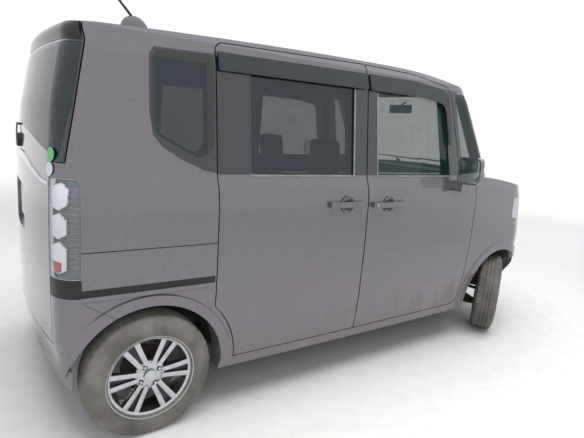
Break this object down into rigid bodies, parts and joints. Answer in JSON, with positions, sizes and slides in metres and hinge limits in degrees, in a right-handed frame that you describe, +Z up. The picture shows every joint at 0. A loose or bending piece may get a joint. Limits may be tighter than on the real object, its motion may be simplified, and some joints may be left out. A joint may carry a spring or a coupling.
{
  "type": "tall five-door kei car",
  "caption": "Tall box-shaped kei car with sliding rear doors, an opening tailgate, bonnet and front doors, alloy wheels that steer and turn, and a hollow furnished cabin.",
  "frame": {"origin": "on the ground under the middle of the body's length and width", "axes": "+X forward, +Y to the car's left, +Z up; the picture shows the right side and the tail"},
  "size_m": [3.395, 1.8, 1.9256],
  "materials": {
    "paint": "metallic clear coat",
    "dark_glass": "tinted",
    "clear_glass": "green tint",
    "smoked_plastic": "smoked",
    "lamp": "clear cover",
    "black_plastic": "matte",
    "gloss_black": "gloss",
    "underbody": "satin",
    "chassis_iron": "satin",
    "exhaust_steel": "dull",
    "dash_plastic": "grained",
    "seat_fabric": "woven",
    "alloy": "silver lacquer",
    "tyre": "dusty"
  },
  "bodies": {
    "body": {"body_side_right": "paint", "body_side_left": "paint", "slide_door_right": "paint", "slide_door_left": "paint", "slide_door_glass": "dark_glass", "slide_door_visors": "smoked_plastic", "quarter_glass": "dark_glass", "corner_glass": "clear_glass", "windscreen": "clear_glass", "fenders": "paint", "cowl_panel": "black_plastic", "front_bumper": "paint", "front_grille": "black_plastic", "headlamps": "lamp", "roof_panel": "paint", "rear_bumper": "paint", "tail_lamps": "lamp", "slide_rails": "black_plastic", "antenna": "black_plastic", "floor_pan": "underbody", "wheel_housings": "underbody", "bulkhead": "underbody", "front_subframe": "chassis_iron", "engine_block": "chassis_iron", "rear_axle": "chassis_iron", "fuel_tank": "black_plastic", "exhaust": "exhaust_steel", "dashboard": "dash_plastic", "front_seats": "seat_fabric", "rear_seat": "seat_fabric", "seat_bases": "underbody"},
    "front_door_right": {"front_door_right": "paint", "front_door_glass_right": "clear_glass", "front_door_visor_right": "smoked_plastic", "mirror_right": "paint"},
    "front_door_left": {"front_door_left": "paint", "front_door_glass_left": "clear_glass", "front_door_visor_left": "smoked_plastic", "mirror_left": "paint"},
    "bonnet": {"bonnet": "paint"},
    "tailgate": {"tailgate": "paint", "tailgate_glass": "dark_glass", "rear_spoiler": "gloss_black", "rear_wiper": "black_plastic"},
    "steering_wheel": {"steering_wheel": "dash_plastic"},
    "knuckle_right": {"knuckle_right": "chassis_iron"},
    "wheel_front_right": {"rim_front_right": "alloy", "tyre_front_right": "tyre"},
    "wheel_rear_right": {"rim_rear_right": "alloy", "tyre_rear_right": "tyre"},
    "knuckle_left": {"knuckle_left": "chassis_iron"},
    "wheel_front_left": {"rim_front_left": "alloy", "tyre_front_left": "tyre"},
    "wheel_rear_left": {"rim_rear_left": "alloy", "tyre_rear_left": "tyre"}
  },
  "joints": [
    {"name": "steering_right", "type": "hinge", "parent": "body", "child": "knuckle_right", "pos_m": [1.2425, -0.612, 0.176], "axis": [0, 0.102, 0.9948], "range_deg": [-68, 2]},
    {"name": "wheel_spin_front_right", "type": "hinge", "parent": "knuckle_right", "child": "wheel_front_right", "pos_m": [1.27021, -0.64433, 0.27902], "axis": [-0.5418, 0.8403, 0.0164], "continuous": true},
    {"name": "wheel_spin_rear_right", "type": "hinge", "parent": "body", "child": "wheel_rear_right", "pos_m": [-1.2775, -0.6525, 0.278], "axis": [0, 1, 0], "continuous": true},
    {"name": "front_door_hinge_right", "type": "hinge", "parent": "body", "child": "front_door_right", "pos_m": [0.851, -0.73, 0.7], "axis": [0, 0, 1], "range_deg": [0, 68]},
    {"name": "steering_left", "type": "hinge", "parent": "body", "child": "knuckle_left", "pos_m": [1.2425, 0.612, 0.176], "axis": [0, -0.102, 0.9948], "range_deg": [-68, 2]},
    {"name": "wheel_spin_front_left", "type": "hinge", "parent": "knuckle_left", "child": "wheel_front_left", "pos_m": [1.21479, 0.64433, 0.27902], "axis": [-0.5418, 0.8403, -0.0164], "continuous": true},
    {"name": "wheel_spin_rear_left", "type": "hinge", "parent": "body", "child": "wheel_rear_left", "pos_m": [-1.2775, 0.6525, 0.278], "axis": [0, 1, 0], "continuous": true},
    {"name": "front_door_hinge_left", "type": "hinge", "parent": "body", "child": "front_door_left", "pos_m": [0.851, 0.73, 0.7], "axis": [0, 0, -1], "range_deg": [0, 68]},
    {"name": "tailgate_hinge", "type": "hinge", "parent": "body", "child": "tailgate", "pos_m": [-1.508, 0, 1.731], "axis": [0, 1, 0], "range_deg": [0, 85]},
    {"name": "bonnet_hinge", "type": "hinge", "parent": "body", "child": "bonnet", "pos_m": [1.066, 0, 1.14], "axis": [0, -1, 0], "range_deg": [0, 50]},
    {"name": "steering_wheel_turn", "type": "hinge", "parent": "body", "child": "steering_wheel", "pos_m": [0.545, -0.33, 0.985], "axis": [-0.8829, 0, 0.4695], "range_deg": [-952, 28]}
  ],
  "couplings": [
    {"joint": "steering_left", "follows": "steering_right", "ratio": 1},
    {"joint": "steering_wheel_turn", "follows": "steering_right", "ratio": 14}
  ]
}
